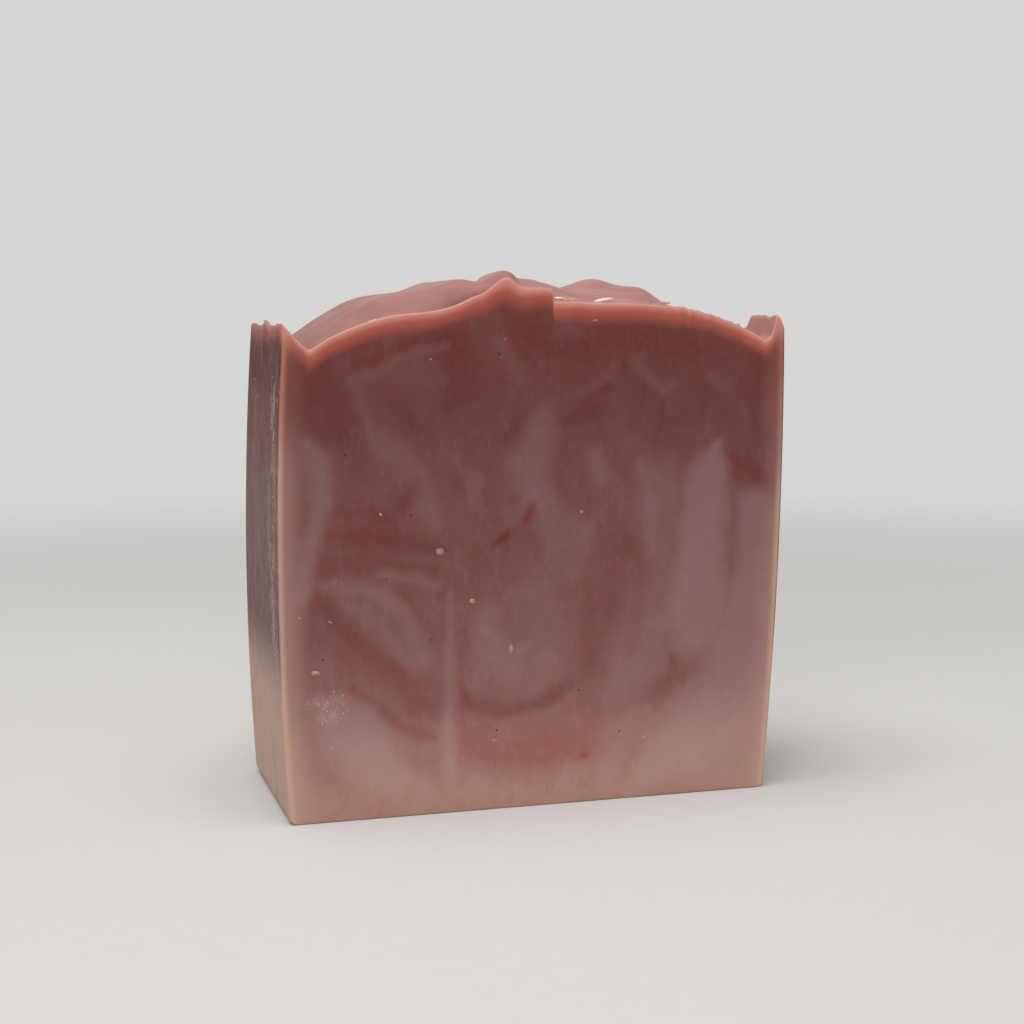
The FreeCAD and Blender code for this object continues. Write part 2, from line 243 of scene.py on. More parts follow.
def whole_top(x, y):
    """Height of the poured top above the foot, before the flake broke off."""
    depth = y - FRONT
    spots = np.column_stack([x, y, np.zeros_like(x)])
    dragged = np.column_stack([x + 0.55 * y, y - 0.25 * x, np.zeros_like(x)])
    skin = 0.12 * rough(dragged, (8.0, 3.2, 50.0), 3) * ease(depth / 2.5)
    inside = crown(x) + ripple(x) + swell(x, depth) + crest(x, depth) + shoulder(x, depth)
    inside = inside + folds(x, depth) + skin + front_burr(x, depth, spots)

    torn_rim = 0.2 * rough(spots, (0.9, 1.1, 50.0), 29)
    rim_top = left_rim_top(y) + torn_rim
    left = strip(x, LEFT_GUTTER, crown(x), LEFT_RIM, rim_top, 1.15)
    lip_top = RIGHT_RIM - RIGHT_LIP_INSET
    lip_foot = lip_top - RIGHT_LIP_SLOPE
    lip_level = right_lip_top(y) + 0.9 * torn_rim
    climb = strip(x, RIGHT_GUTTER, crown(x), lip_foot, RIGHT_LIP_FOOT)
    climb = np.where(x > lip_foot, strip(x, lip_foot, RIGHT_LIP_FOOT, lip_top, lip_level), climb)
    roll = lip_level - RIGHT_LIP_ROUND * np.clip((x - lip_top) / RIGHT_LIP_INSET, 0, 1) ** 1.6
    right = np.where(x > lip_top, roll, climb)
    top = np.where(x < LEFT_GUTTER, left, inside)
    top = np.where(x > RIGHT_GUTTER, right, top)
    return np.minimum(top, bar_high.z - TOP_ROOM)


def poured_top(x, y):
    """Height of the top as it is now, with the broken ledge along the front."""
    depth = y - FRONT
    spots = np.column_stack([x, y, np.zeros_like(x)])
    whole = whole_top(x, y)
    ledge = BREAK_HEIGHT + BREAK_SLOPE * depth + 0.1 * rough(spots, (2.4, 1.6, 50.0), 17)
    broken = ease((x - BREAK_LEFT) / STEP_WIDTH) * (x < BREAK_RIGHT)
    return whole + (lower_of(whole, ledge, 0.35) - whole) * broken


# Faint waves that the wire left in the cuts, below the height where they fade out
WAVE_DEPTH = 0.07
WAVE_TOP = 64.0
WAVE_FADE = 5.0

# How soon the top's form dies out down the bar, as powers of the share of the way up
FORM_POWER = 4
BREAK_POWER = 24

# Lattice over the six sides of the slice. Lines crowd where the form is fine.
LINES_ACROSS = 172
LINES_DEEP = 54
LINES_UP = 150
EDGE_STEPS = (0.0, 0.1, 0.2, 0.35)
TOP_LEFT = -float(wall_offset("left", WALL_HEIGHT))
TOP_WIDTH = float(wall_offset("right", WALL_HEIGHT)) - TOP_LEFT
FOCUS_ACROSS = ((0.0, 2.5, 1.5), (LEFT_GUTTER - TOP_LEFT, 1.2, 1.0), (-3.5 - TOP_LEFT, 4.0, 1.3),
                (TOP_WIDTH - 1.5, 3.0, 2.5))
FOCUS_DEEP = ((0.0, 4.0, 2.6), (THICKNESS, 1.5, 0.8))
FOCUS_UP = ((WALL_HEIGHT, 5.0, 1.6), (0.0, 2.0, 0.8))


def lattice_lines(length, count, focus):
    """Places of the lattice lines along one side, from 0 to its length."""
    inner_low, inner_high = EDGE_STEPS[-1], length - EDGE_STEPS[-1]
    fine = np.linspace(inner_low, inner_high, 4000)
    interest = np.ones_like(fine)
    for place, reach, weight in focus:
        interest += weight * bell((fine - place) / reach)
    shares = np.cumsum(interest)
    shares = (shares - shares[0]) / (shares[-1] - shares[0])
    inner_count = count - 2 * (len(EDGE_STEPS) - 1)
    inner = np.interp(np.linspace(0, 1, inner_count + 1), shares, fine)
    low_end = np.array(EDGE_STEPS[:-1])
    return np.concatenate([low_end, inner, length - low_end[::-1]])


def with_step(lines, start, width):
    """Adds close lines that follow a step down, in place of those that are there."""
    step = start + width * np.linspace(0.0, 1.0, STEP_LINES)
    clear = np.abs(lines - start - width / 2) > width
    return np.sort(np.concatenate([lines[clear], step]))


def round_box(points, size, radius):
    """Draws the edges and corners of a box-shaped lattice in, to a rounded box."""
    inner = np.clip(points, radius, size - radius)
    out = points - inner
    length = np.maximum(np.linalg.norm(out, axis=1, keepdims=True), 1e-9)
    return np.where(length > radius, inner + out * radius / length, points)


def round_foot(points, width):
    """Turns the square of lattice at each foot corner into a quarter circle."""
    for sign, edge in ((1, 0.0), (-1, width)):
        out = np.column_stack([(points[:, 0] - edge) * sign, points[:, 2]]) - FOOT_CORNER
        inside = (out < 0).all(axis=1)
        shrink = np.abs(out).max(axis=1) / np.maximum(np.linalg.norm(out, axis=1), 1e-9)
        moved = out * shrink[:, None] + FOOT_CORNER
        points[inside, 0] = edge + sign * moved[inside, 0]
        points[inside, 2] = moved[inside, 1]
    return points


def box_lattice(counts):
    """Vertex cells and outward faces of a box's skin, as whole-number lattice places."""
    nx, ny, nz = counts
    cells = np.stack(np.meshgrid(*[np.arange(n + 1) for n in counts], indexing="ij"), -1)
    skin = np.zeros(cells.shape[:3], bool)
    for axis in range(3):
        side = np.moveaxis(skin, axis, 0)
        side[0] = True
        side[-1] = True
    number = np.full(skin.shape, -1)
    number[skin] = np.arange(skin.sum())
    faces = []
    for axis, last in ((0, nx), (1, ny), (2, nz)):
        for at, outward in ((0, False), (last, True)):
            sheet = np.take(number, at, axis=axis)
            quads = np.stack([sheet[:-1, :-1], sheet[1:, :-1], sheet[1:, 1:], sheet[:-1, 1:]], -1)
            quads = quads.reshape(-1, 4)
            turned = outward if axis != 1 else not outward
            faces.append(quads if turned else quads[:, ::-1])
    return cells[skin], np.concatenate(faces)


def bar_points():
    """Vertices and faces of the whole bar, and each vertex's share of the way up."""
    across = lattice_lines(TOP_WIDTH, LINES_ACROSS, FOCUS_ACROSS)
    across = with_step(across, BREAK_LEFT - TOP_LEFT, STEP_WIDTH)
    deep = lattice_lines(THICKNESS, LINES_DEEP, FOCUS_DEEP)
    up = lattice_lines(WALL_HEIGHT, LINES_UP, FOCUS_UP)
    cells, faces = box_lattice((len(across) - 1, len(deep) - 1, len(up) - 1))
    flat = np.column_stack([across[cells[:, 0]], deep[cells[:, 1]], up[cells[:, 2]]])
    size = np.array([TOP_WIDTH, THICKNESS, WALL_HEIGHT])
    flat = round_foot(round_box(flat, size, EDGE_ROUND), TOP_WIDTH)

    share_across, share_deep, share_up = (flat / size).T
    z = flat[:, 2]
    for _ in range(2):
        left = -wall_offset("left", z)
        right = wall_offset("right", z)
        x = left + share_across * (right - left)
        y = FRONT + share_deep * (THICKNESS - BACK_LEAN * z / WALL_HEIGHT)
        whole = whole_top(x, y)
        broken = poured_top(x, y) - whole
        z = flat[:, 2] + (whole - WALL_HEIGHT) * share_up ** FORM_POWER + broken * share_up ** BREAK_POWER
    return np.column_stack([x, y, z]), faces, share_up


def curl_crest(points):
    """Leans the crest's top over its right flank."""
    x, y, z = points.T
    depth = y - FRONT
    near = bell((x - crest_line(depth) - 1.0) / 1.1) * ease((z - 79.9) / 1.3)
    points[:, 0] += 0.55 * near * ease(depth / 1.2) * (1 - ease((depth - 9.0) / 6.0))
    return points


def soften_cuts(points):
    """Faint waves left by the cutting wire, always inwards, and the flap on the left wall."""
    x, y, z = points.T
    depth = y - FRONT
    on_front = 1 - ease(depth / 0.5)
    waves = 0.5 + 0.5 * rough(np.column_stack([x, 0 * y, z]), (5.0, 9.0, 16.0), 61)
    low_down = 1 - ease((z - WAVE_TOP) / WAVE_FADE)
    points[:, 1] += WAVE_DEPTH * waves * on_front * low_down
    back = FRONT + THICKNESS - BACK_LEAN * z / WALL_HEIGHT
    on_back = 1 - ease((back - y) / 0.5)
    points[:, 1] -= WAVE_DEPTH * (1 - waves) * on_back * low_down
    on_left = ease((-wall_offset("left", z) + 0.5 - x) / 0.4)
    fold_line = 74.2 - 0.37 * (-1.9 - y)
    flap = bell((z - fold_line) / 0.45) * ease((y + 11.0) / 2.0) * (1 - ease((y + 1.5) / 1.5))
    points[:, 0] -= 0.3 * flap * on_left
    return points


# Streaks of clay in the marbled soap, as drawn on the front cut.
# Each streak is a strength and a chain of (x, z, half width) in millimetres.
BRICK_STREAKS = {
    "corner_patch": (0.5, [(-36.2, 66.5, 1.2), (-33.5, 64.0, 3.8), (-31.8, 61.0, 3.3), (-30.5, 58.3, 1.2)]),
    "thin_vein": (0.4, [(-29, 67.5, 0.6), (-24, 69.2, 0.7), (-19, 70.6, 0.6), (-14, 71.5, 0.4)]),
    "small_ring": (0.45, [(-23, 62.3, 1.3), (-19.8, 60.6, 1.6), (-18.2, 58.6, 0.8)]),
    "upper_drip": (0.4, [(-28.2, 63, 0.8), (-27.5, 56, 1.0), (-27.5, 51.5, 1.2)]),
    "left_band_top": (0.7, [(-31.5, 46.5, 1.0), (-27, 46.8, 1.3), (-23.5, 45.3, 1.1), (-21, 44, 0.7)]),
    "left_band_middle": (0.9, [(-32, 43.2, 1.3), (-27, 42.8, 1.7), (-22, 42, 1.7), (-17, 40.6, 1.4),
                               (-14.5, 40.2, 0.7)]),
    "left_band_low": (0.55, [(-33, 38.5, 1.8), (-27, 38.8, 1.4), (-21, 38, 1.0), (-16, 37.2, 0.7)]),
    "red_patch": (1.0, [(-20.8, 46.8, 1.0), (-18.9, 49.2, 1.6), (-18.1, 50.6, 1.0)]),
    "red_dash": (0.6, [(-12.2, 49.5, 0.9), (-11.8, 52.3, 0.8)]),
    "faint_dash": (0.4, [(-4.6, 57.2, 0.8), (-3, 58.9, 0.8)]),
    "leaf_vein": (0.65, [(-22, 34.6, 0.5), (-19.8, 31.5, 0.6), (-18.6, 28.5, 0.6), (-18.2, 25.8, 0.3)]),
    "leaf_heart": (0.5, [(-25.5, 30.8, 0.4), (-23.5, 29, 0.5), (-22.3, 27.4, 0.3)]),
    "leaf_back": (0.45, [(-21, 35.4, 0.6), (-17, 34.6, 0.9), (-15.5, 33, 0.8)]),
    "low_vein": (0.75, [(-29, 19.8, 0.5), (-24, 16.3, 0.8), (-20, 13.8, 1.0), (-17, 12.3, 1.0),
                        (-15.4, 11.8, 0.5)]),
    "lozenge_trail": (0.4, [(-10, 38.8, 0.6), (-6.5, 41, 0.4), (-3, 43.3, 0.4)]),
    "centre_dash": (0.5, [(-4.3, 35.3, 0.5), (-1.8, 35.6, 0.8), (0.2, 35.2, 0.5)]),
    "right_upright": (0.65, [(14.5, 24, 1.2), (16.8, 29, 1.3), (17.3, 34, 1.3), (17, 38.5, 1.4),
                             (15.5, 40.6, 1.2)]),
    "brown_arc": (0.4, [(7.5, 22, 1.5), (8.5, 27, 1.0), (8, 33, 0.9), (8.5, 38, 0.8)]),
    "brown_patch": (0.5, [(5, 58.5, 1.0), (7.2, 60, 1.7), (9.2, 60.5, 1.0)]),
    "brown_slant": (0.4, [(6.5, 62, 0.5), (9, 64.3, 0.6), (11.5, 66.5, 0.6)]),
    "right_drip": (0.4, [(19.5, 57, 1.0), (20.5, 53.5, 1.5), (21.5, 50.5, 1.0)]),
    "right_knot": (0.45, [(18, 65.5, 1.2), (17.5, 63, 1.0)]),
    "right_lobe": (0.75, [(32, 53, 1.0), (33, 50.6, 1.8), (35, 49.8, 2.0), (36.6, 49.4, 1.6)]),
    "right_column": (0.3, [(36.4, 68, 1.4), (36.2, 60, 1.5), (36, 54, 1.6), (36, 50, 1.2)]),
    "right_thread": (0.5, [(31.6, 49, 0.5), (32.4, 44, 0.5), (33.4, 39.5, 0.6), (34.2, 34, 0.5)]),
    "upper_right_drips": (0.35, [(14.5, 71, 0.9), (15.2, 64, 0.7), (14.6, 58, 0.5)]),
    "upper_right_drip": (0.35, [(19.6, 70, 0.8), (20.4, 62, 0.7), (19.8, 55.5, 0.5)]),
    "low_blotch": (0.45, [(31.4, 13.5, 0.8), (31.7, 11.8, 0.7)]),
    "crown_blush": (0.4, [(11, 72, 1.5), (18, 71, 2.0), (25, 69.5, 1.5)]),
    "wedge_border": (0.25, [(23.5, 53, 0.5), (22.6, 45, 0.5), (21.2, 36, 0.5), (20, 27, 0.4)]),
}
PLUM_STREAKS = {
    "crown_shade": (0.6, [(-13, 70, 2.5), (-11.5, 64, 2.8), (-13.5, 61.3, 1.0)]),
    "left_sweep": (0.7, [(-33.4, 33, 1.5), (-30.5, 30, 1.5), (-27.5, 27, 1.6), (-24.5, 24, 1.9),
                          (-21, 20.8, 2.3), (-17.5, 18.6, 2.8), (-15.4, 18, 3.1)]),
    "left_sweep_edge": (0.35, [(-34, 29, 1.2), (-30, 25.5, 1.0), (-25, 21, 0.9)]),
    "bowl": (0.85, [(-11.8, 18.8, 0.7), (-9.5, 16.8, 1.5), (-6, 15.4, 1.1), (-2, 15.7, 0.9),
                    (2, 16.8, 1.2), (5, 18.4, 1.0)]),
    "bowl_arm": (0.45, [(4, 17.8, 1.2), (8.5, 22, 1.8), (11, 26, 1.5), (13, 31, 1.2)]),
    "right_slant": (0.55, [(22.3, 22.4, 0.6), (22.2, 20.6, 1.0), (21.2, 18.6, 1.0), (18.5, 17, 1.2),
                          (15, 15.8, 1.5), (11, 14.6, 1.6)]),
    "right_slant_lobe": (0.3, [(21.5, 18.8, 1.2), (24.5, 19.2, 1.0), (26.3, 19.4, 0.5)]),
    "crown_dark": (0.45, [(-3, 73, 1.5), (2, 71, 2.0), (9, 69.5, 1.6)]),
}
PINK_STREAKS = {
    "pool": (0.85, [(-10, 10.3, 2.0), (-6, 8.9, 2.9), (-1, 8.6, 3.3), (4, 9.4, 3.4), (9, 10.4, 3.5),
                    (12.3, 12.3, 2.4)]),
    "pool_top": (0.35, [(-9, 12.8, 0.8), (-3, 12.4, 1.0), (4, 13.2, 1.2), (9, 15.5, 1.4)]),
    "arc_fill": (0.2, [(11, 22, 2.0), (12.5, 30, 2.6), (12, 37, 2.4)]),
}
RED_FLECKS = {
    "upper_lozenge": (1.0, [(-2, 44.1, 0.4), (-0.9, 45.6, 0.8), (-0.3, 46.9, 0.4)]),
    "lower_lozenge": (0.85, [(-6.5, 41, 0.3), (-5.3, 41.7, 0.6), (-4.3, 42.6, 0.4)]),
    "high_fleck": (0.6, [(10.6, 63.6, 0.4), (11.4, 64.4, 0.4)]),
    "low_fleck": (0.7, [(7.2, 7.1, 0.3), (8.2, 7.3, 0.45)]),
}
PALE_STREAKS = {
    "left_wedge": (0.8, [(-34.5, 57, 0.8), (-33, 54, 1.8), (-33, 48, 1.5), (-34.5, 42, 1.4),
                         (-35.5, 34, 1.2)]),
    "top_line": (0.6, [(-28.5, 65.3, 0.7), (-24, 67, 0.7), (-19, 68.8, 0.6), (-14, 70, 0.5)]),
    "top_line_drop": (0.45, [(-28.3, 65.4, 0.7), (-27.4, 62.5, 0.9), (-26.3, 60, 0.7), (-25.5, 57, 0.6)]),
    "upper_cloud": (0.35, [(-24, 57, 1.5), (-20.5, 54, 2.2), (-17.5, 50, 1.8), (-15.5, 44.5, 1.2)]),
    "outer_leaf": (0.5, [(-32.5, 35.2, 0.8), (-28.5, 35, 1.1), (-24.5, 34, 1.1), (-21.8, 31.6, 1.1),
                         (-19.9, 28.5, 1.2), (-17.5, 24.3, 1.5)]),
    "inner_leaf": (0.42, [(-29.8, 33, 0.5), (-26.5, 31.6, 0.9), (-24.2, 29, 0.9), (-22.2, 25.8, 1.2),
                          (-19, 23, 0.9)]),
    "leaf_top": (0.45, [(-24, 37, 0.6), (-19.5, 36.1, 0.8), (-16, 34.6, 0.8)]),
    "corner_pool": (0.85, [(-34, 18.5, 1.2), (-31.5, 16.5, 3.0), (-28.5, 13, 4.2), (-25, 9, 4.0),
                           (-21.5, 6, 2.5)]),
    "corner_tail": (0.5, [(-22, 9, 1.5), (-17, 4, 1.0)]),
    "upright_thread": (0.6, [(-13.6, 33, 0.5), (-13.5, 26, 0.7), (-13.4, 18, 0.9), (-13.6, 10, 0.9),
                             (-14, 5, 0.6)]),
    "heart": (0.5, [(-7, 30, 2.0), (-6.8, 25.5, 2.6), (-4, 22, 2.0)]),
    "heart_wide": (0.35, [(-1, 33, 3.5), (0, 28, 5.0), (-1, 22, 4.0)]),
    "heart_spot": (0.8, [(-8, 27.8, 1.1), (-6.6, 26.6, 1.0)]),
    "heart_spot_low": (0.65, [(-3.4, 24.6, 1.0), (-1.6, 25.6, 0.9)]),
    "heart_dash": (0.5, [(-4, 33.2, 0.9), (-0.5, 33.2, 0.9)]),
    "centre_column": (0.6, [(1, 60.3, 1.6), (0.5, 57, 2.8), (-1.5, 52.5, 3.2), (0.5, 48.5, 2.2)]),
    "centre_field": (0.4, [(1.5, 46, 3.0), (4.5, 42, 4.0), (5, 38, 3.5)]),
    "right_column": (0.65, [(16.5, 53, 0.5), (17.5, 49, 1.3), (18.4, 44, 1.6), (18.3, 38.5, 1.2)]),
    "small_column": (0.5, [(9, 54, 1.2), (10, 50.5, 1.2)]),
    "great_wedge": (1.0, [(29.5, 55, 0.8), (28.4, 51.5, 2.6), (27.0, 47, 4.1), (26.8, 42, 4.6),
                          (26.6, 35, 5.0), (26.8, 28, 5.3)]),
    "right_field": (0.9, [(19, 4.5, 3.0), (24, 8, 6.0), (30, 11, 7.0), (33.5, 18, 5.5), (33.5, 26, 4.5),
                          (35.4, 34, 2.8), (35.4, 45, 2.6)]),
    "right_ground": (0.45, [(12, 4, 2.5), (16, 25, 5.0), (22, 34, 5.0), (20, 50, 4.0)]),
    "zigzag": (0.6, [(15.5, 68, 0.5), (18.5, 65.2, 0.7), (21, 63.8, 0.7), (22.4, 64.8, 0.5)]),
    "zigzag_far": (0.45, [(28.5, 65.2, 0.9), (30.8, 63.8, 0.8)]),
    "crest_drop": (0.5, [(-5.8, 71, 1.0), (-4.8, 68, 1.4), (-3, 66, 1.2)]),
    "crown_slant": (0.45, [(12, 66.8, 0.8), (9, 64.2, 0.6), (6.5, 62.5, 0.5)]),
    "left_crown": (0.3, [(-21.5, 66.5, 1.5), (-17, 66.7, 1.4), (-14.5, 65, 0.9)]),
}
STREAK_BLUR = 0.45
BLUR_SHARE = 0.5


def streak_field(streaks, x, z):
    """How strongly a colour's streaks mark each place, from 0 to 1. Wide streaks fade more slowly."""
    field = np.zeros_like(x)
    for strength, chain in streaks.values():
        mark = np.zeros_like(x)
        for (x0, z0, half0), (x1, z1, half1) in zip(chain, chain[1:]):
            run_x, run_z = x1 - x0, z1 - z0
            along = ((x - x0) * run_x + (z - z0) * run_z) / (run_x ** 2 + run_z ** 2)
            along = np.clip(along, 0.0, 1.0)
            away = np.hypot(x - x0 - along * run_x, z - z0 - along * run_z)
            half = half0 + along * (half1 - half0)
            blur = STREAK_BLUR + BLUR_SHARE * half
            mark = np.maximum(mark, ease(0.5 - (away - half) / (2 * blur)))
        field = np.maximum(field, strength * mark)
    return field


def colour_fields(points, share_up):
    """Every colour's field over the bar, by the name of its mesh attribute."""
    x, y, z = points.T
    depth = y - FRONT
    drift = 5.0 * ease(depth / THICKNESS)
    warp_x = 1.1 * rough(points, (8.0, 9.0, 8.0), 71, 4) + drift * lumps(points, (24, 30, 24), 73)
    warp_z = 1.1 * rough(points, (8.0, 9.0, 8.0), 79, 4) + drift * lumps(points, (24, 30, 24), 83)
    px, pz = x + warp_x, z + warp_z
    left, right = -wall_offset("left", z), wall_offset("right", z)
    below_top = poured_top(x, y) - z
    uneven = 0.5 + 0.5 * rough(points, (9.0, 9.0, 9.0), 89)
    patchy = ease((rough(points, (1.6, 1.6, 3.4), 97) + 0.15) / 0.5)

    on_left = ease((left + 0.45 - x) / 0.4)
    on_right = ease((x - right + 0.45) / 0.4)
    on_front = 1 - ease(depth / 0.4)
    skin = ease((share_up - 0.9985) / 0.001)

    # Cream bands at the side edges: partly the soap's own gel ring, partly painted glow of light shining
    # through the edges
    left_cream_and_glow = (1 - ease((x - left - 0.6) / 4.6)) * (1 - 0.7 * ease((z - 52.0) / 10.0))
    right_cream_and_glow = (1 - ease((right - x - 0.5) / 4.2)) * (1 - 0.55 * ease((z - 42.0) / 8.0))
    cream_and_glow = np.maximum(left_cream_and_glow, right_cream_and_glow)
    # A pale line right at the side edges, also partly gel ring and partly painted glow
    left_line = 1 - ease((x - left - 0.2) / 1.2)
    right_line = (1 - ease((right - x - 0.2) / 1.3)) * (1 - 0.4 * ease((z - 46.0) / 8.0))
    side_line_and_glow = np.maximum(left_line, right_line) * (1 - ease((z - 69.0) / 5.0))

    # Painted glow: a salmon band just under the top edge stands in for light shining through the rim,
    # widest under the crest
    band = 1.8 + 1.6 * uneven + 1.6 * bell((x + 4.5) / 4.0)
    painted_glow_band = ease(below_top / 0.8) * (1 - ease((below_top - 1.0) / band))
    # Painted highlight: a thin bright line along the top edge, wider under the crest, and on the fronts of
    # the two side lips
    painted_edge_highlight = 1 - ease((below_top - 0.1) / (1.3 + 1.0 * bell((x + 4.0) / 3.0)))
    lip_face = mound(x, z, (38.8, 73.6), (3.2, 2.4), 0.8) + mound(x, z, (-38.0, 72.6), (1.6, 2.2), 0.7)
    painted_edge_highlight = np.maximum(painted_edge_highlight, lip_face * (1 - ease(depth / 0.5)))

    # Painted shade: the crease behind the curled lobe, the spoon hollow, the shadow behind the front-left
    # lip and the low ground by the left gutter are darkened in the colour
    shade = bell((depth - curl_line(x)) / 0.35) * bell((x + 4.9) / 1.6) * skin
    shade = np.maximum(shade, mound(x, depth, (-10.4, 2.6), (3.2, 2.4), 1.0) * skin)
    behind_lip = bell((depth - 0.9) / 0.35) * ease((x + 34.0) / 3.0) * (1 - ease((x + 9.0) / 3.0))
    by_gutter = 1 - ease((x + 36.0) / 14.0)
    shade = np.maximum(shade, np.maximum(0.75 * behind_lip, 0.3 * by_gutter) * skin)

    ledge_line = bell((depth - 1.3 - 0.05 * (x - 3.0)) / 0.7)
    ledge_line = ledge_line * ease((x - 2.5) / 0.3) * (1 - ease((x - 15) / 5))
    wall_edge = on_left * bell((depth - 4.0) / 3.4) * ease((z - 19) / 6) * (1 - ease((z - 62) / 8))
    chalk = on_front * np.maximum.reduce([
        mound(x, z, (-32.4, 18.2), (2.6, 0.9), 0.8), mound(x, z, (-31.9, 16.2), (1.4, 1.5), 1.0),
        mound(x, z, (-31.7, 12.6), (0.5, 1.8), 0.25)])
    ash = np.maximum.reduce([ledge_line * skin, 0.45 * chalk, 0.6 * wall_edge * patchy])
    walls = np.maximum(on_left, on_right)
    fleck_density = np.maximum.reduce([
        0.7 * chalk, 0.22 * wall_edge * patchy, 0.12 * ledge_line * skin, 0.006 * on_left,
        0.003 * skin])

    return {
        "brick": streak_field(BRICK_STREAKS, px, pz),
        "plum": streak_field(PLUM_STREAKS, px, pz),
        "pink": streak_field(PINK_STREAKS, px, pz),
        "red": streak_field(RED_FLECKS, x + 0.2 * warp_x, z + 0.2 * warp_z),
        "pale": streak_field(PALE_STREAKS, px, pz),
        "cream_and_glow": cream_and_glow,
        "painted_glow_band": painted_glow_band,
        "side_line_and_glow": side_line_and_glow,
        "painted_edge_highlight": painted_edge_highlight,
        "shade": shade,
        "ash": ash,
        "skin": skin,
        "mould": walls,
        "fleck_density": fleck_density,
    }


def make_bar(material):
    """The bar as one closed mesh, with its colour fields as attributes."""
    points, faces, share_up = bar_points()
    points = soften_cuts(curl_crest(points))
    mesh = bpy.data.meshes.new("soap_body")
    mesh.from_pydata((points * MM).tolist(), [], faces.tolist())
    mesh.shade_smooth()
    for name, field in colour_fields(points, share_up).items():
        mesh.attributes.new(name, "FLOAT", "POINT").data.foreach_set("value", field.astype(np.float32))
    mesh.materials.append(material)
    bar = bpy.data.objects.new("soap_body", mesh)
    bpy.context.scene.collection.objects.link(bar)
    return bar


def written(red, green, blue):
    """A colour as it is written in a picture, 0 to 255, turned to the light that it reflects."""
    shares = [part / 255 for part in (red, green, blue)]
    light = [s / 12.92 if s <= 0.04045 else ((s + 0.055) / 1.055) ** 2.4 for s in shares]
    return (*light, 1.0)


class Sheet:
    """A sheet of nodes. Each method adds one node and returns its output."""

    def add(self, kind, inputs=None, output=0, **settings):
        node = self.tree.nodes.new(kind)
        for key, value in settings.items():
            setattr(node, key, value)
        for key, value in (inputs or {}).items():
            socket = node.inputs[key]
            if isinstance(value, bpy.types.NodeSocket):
                self.tree.links.new(value, socket)
            else:
                socket.default_value = value
        return node.outputs[output]

    def math(self, operation, first, second=0.0, third=None, clamp=False):
        inputs = {0: first, 1: second}
        if third is not None:
            inputs[2] = third
        return self.add("ShaderNodeMath", inputs, operation=operation, use_clamp=clamp)


class FinishSheet(Sheet):
    """The nodes of a material."""

    def __init__(self, name):
        self.material = bpy.data.materials.new(name)
        self.material.use_nodes = True
        self.tree = self.material.node_tree
        self.tree.nodes.clear()

    def place(self, scale=(1, 1, 1), turn=(0, 0, 0), shift=(0, 0, 0)):
        """Object coordinates in millimetres, scaled, turned and shifted."""
        here = self.add("ShaderNodeTexCoord", output="Object")
        sizes = tuple(s / MM for s in scale)
        return self.add("ShaderNodeMapping", {"Vector": here, "Scale": sizes, "Rotation": turn,
                                              "Location": shift})

    def field(self, name):
        return self.add("ShaderNodeAttribute", output="Fac", attribute_name=name)

    def noise(self, place, pitch, detail=3.0, roughness=0.5, distortion=0.0, output=0):
        """Noise whose lumps are one pitch apart, about 0 to 1."""
        return self.add("ShaderNodeTexNoise", {
            "Vector": place, "Scale": 1.0 / pitch, "Detail": detail, "Roughness": roughness,
            "Distortion": distortion}, output)

    def spread(self, value, low, high, to_low=0.0, to_high=1.0, smooth=True):
        """Maps low..high to to_low..to_high, smoothly."""
        return self.add("ShaderNodeMapRange", {
            "Value": value, "From Min": low, "From Max": high, "To Min": to_low, "To Max": to_high},
            interpolation_type="SMOOTHSTEP" if smooth else "LINEAR")

    def blend(self, share, first, second, kind="MIX"):
        """Colour blend by a share of 0 to 1."""
        return self.add("ShaderNodeMix", {0: share, 6: first, 7: second}, output=2, data_type="RGBA",
                        blend_type=kind, clamp_factor=True)

    def stain(self, share, colour, tint):
        """Dyes a colour by a tint, which says how much of each light the dye lets through. On the skin it
        also lays on painted shade.
        """
        return self.blend(share, colour, (*tint, 1.0), "MULTIPLY")

    def by_height(self, height, stops):
        """A colour that changes with height: stops are (height in mm, colour)."""
        node = self.tree.nodes.new("ShaderNodeValToRGB")
        ramp = node.color_ramp
        ramp.interpolation = "EASE"
        while len(ramp.elements) < len(stops):
            ramp.elements.new(0.5)
        for element, (level, colour) in zip(ramp.elements, stops):
            element.position = level / bar_high.z
            element.color = colour
        self.tree.links.new(self.math("DIVIDE", height, bar_high.z), node.inputs["Fac"])
        return node.outputs["Color"]

    def finish(self, shader):
        output = self.tree.nodes.new("ShaderNodeOutputMaterial")
        self.tree.links.new(shader, output.inputs["Surface"])
        return self.material


# The soap's colours: the ground and the walls by height, the clays by what they let through. The height
# ramps grow lighter toward the foot: on the cut faces partly from pigment that settled and partly as
# painted bounce light from the floor, on the walls as painted bounce light.
GROUND = ((2, written(170, 136, 123)), (9, written(158, 120, 111)), (18, written(139, 100, 93)),
          (30, written(128, 88, 82)), (46, written(121, 81, 76)), (60, written(113, 72, 67)),
          (72, written(115, 67, 61)))
# Walls: wine at the top, beige at the foot as painted bounce light
WALL = ((2, written(178, 147, 130)), (17, written(176, 145, 128)), (29, written(106, 78, 75)),
        (48, written(112, 82, 79)), (58, written(102, 66, 62)), (68, written(80, 36, 30)))
# Painted glow under the top edge of the walls
PAINTED_RIM_GLOW = written(166, 96, 82)
BRICK_TINT = (0.9, 0.62, 0.58)
PLUM_TINT = (0.84, 0.6, 0.6)
PINK_TINT = (0.98, 0.74, 0.75)
RED_TINT = (0.84, 0.42, 0.38)
PALE = ((6, written(176, 146, 136)), (22, written(149, 123, 118)), (50, written(139, 113, 110)),
        (68, written(124, 91, 88)))
# Painted glow under the top edge of the cut faces
PAINTED_GLOW_SALMON = written(184, 98, 86)
